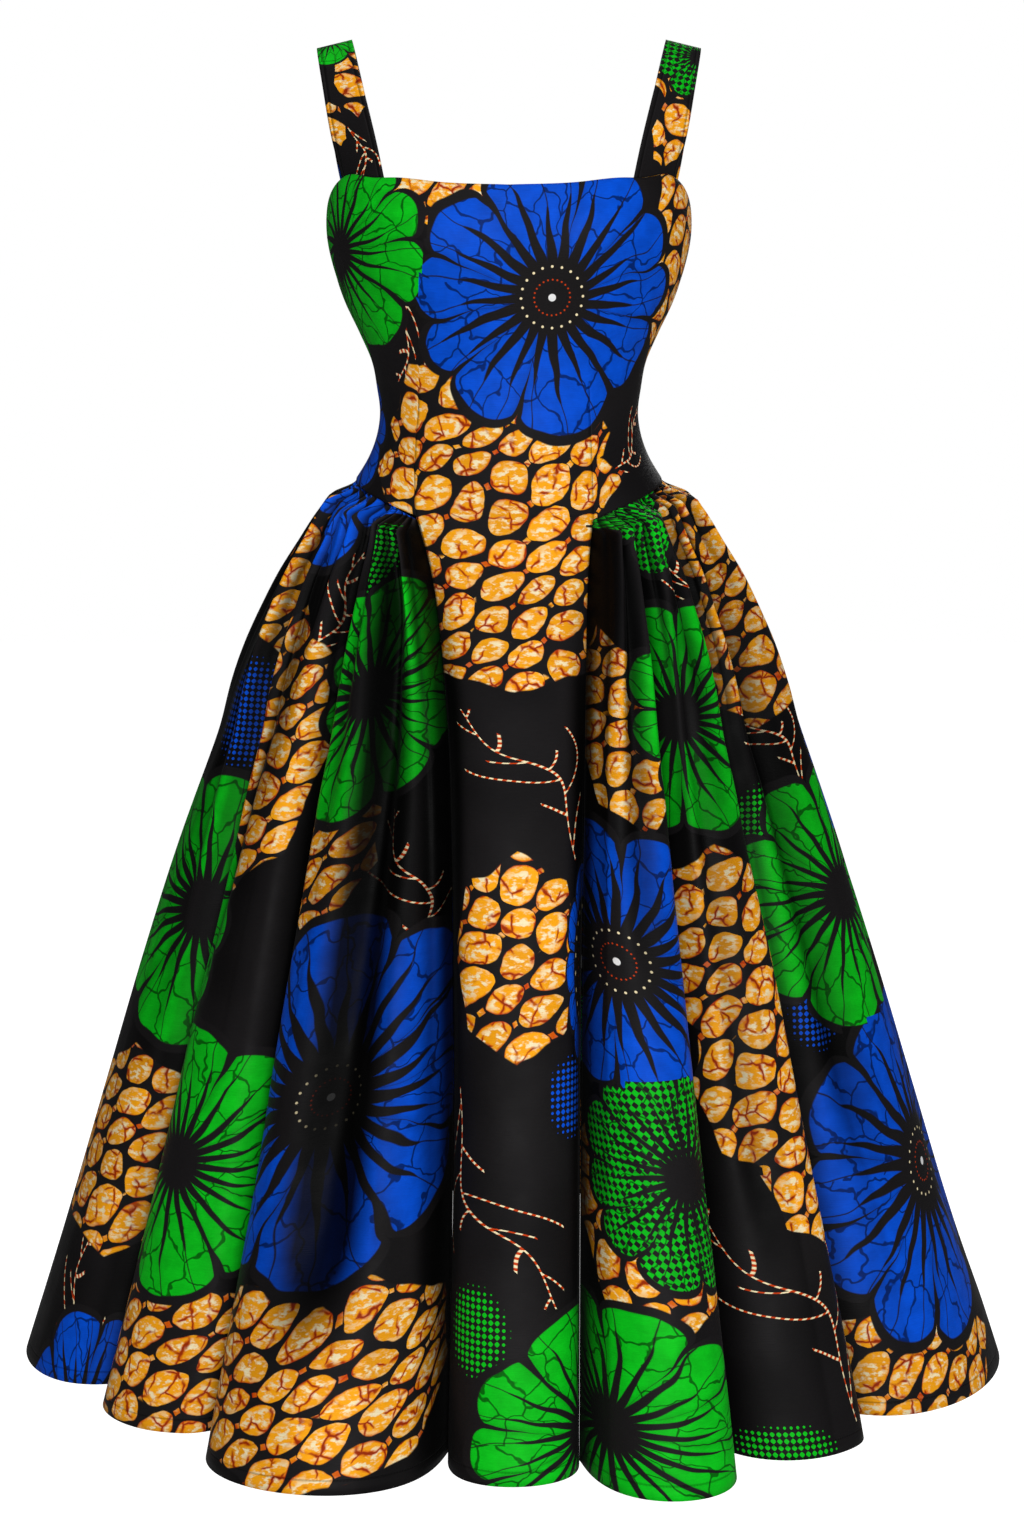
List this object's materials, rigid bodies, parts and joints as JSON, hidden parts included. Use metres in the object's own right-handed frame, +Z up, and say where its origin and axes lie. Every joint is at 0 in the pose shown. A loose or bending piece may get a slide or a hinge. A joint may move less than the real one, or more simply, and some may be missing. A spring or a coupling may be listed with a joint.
{
  "type": "fit and flare dress",
  "caption": "Sleeveless fit and flare dress with shoulder straps, fitted bodice, flat centre panel and gathered full skirt in a bold printed cotton.",
  "frame": {"origin": "where the wearer's shoulders carry the straps: midway between the two straps, at their highest point", "axes": "+Z up, -Y is the front of the dress, +X is on the right when the front is looked at"},
  "size_m": [0.8538, 0.8724, 1.1235],
  "materials": {
    "printed_cotton": "crisp printed cotton, low sheen",
    "zip_tape": "matte woven tape",
    "zip_metal": "satin black"
  },
  "bodies": {
    "dress": {"front_panel": "printed_cotton", "skirt_side_left": "printed_cotton", "skirt_side_right": "printed_cotton", "skirt_back_right": "printed_cotton", "skirt_back_left": "printed_cotton", "bodice_back_right": "printed_cotton", "bodice_back_left": "printed_cotton", "strap_right": "printed_cotton", "strap_left": "printed_cotton", "zip_tape": "zip_tape", "zip_slider": "zip_metal"},
    "pull_tab": {"zip_pull": "zip_metal"}
  },
  "joints": [
    {"name": "pull_tab_hinge", "type": "hinge", "parent": "dress", "child": "pull_tab", "pos_m": [0, 0.11004, -0.16675], "axis": [1, 0, 0], "range_deg": [0, 150]}
  ]
}
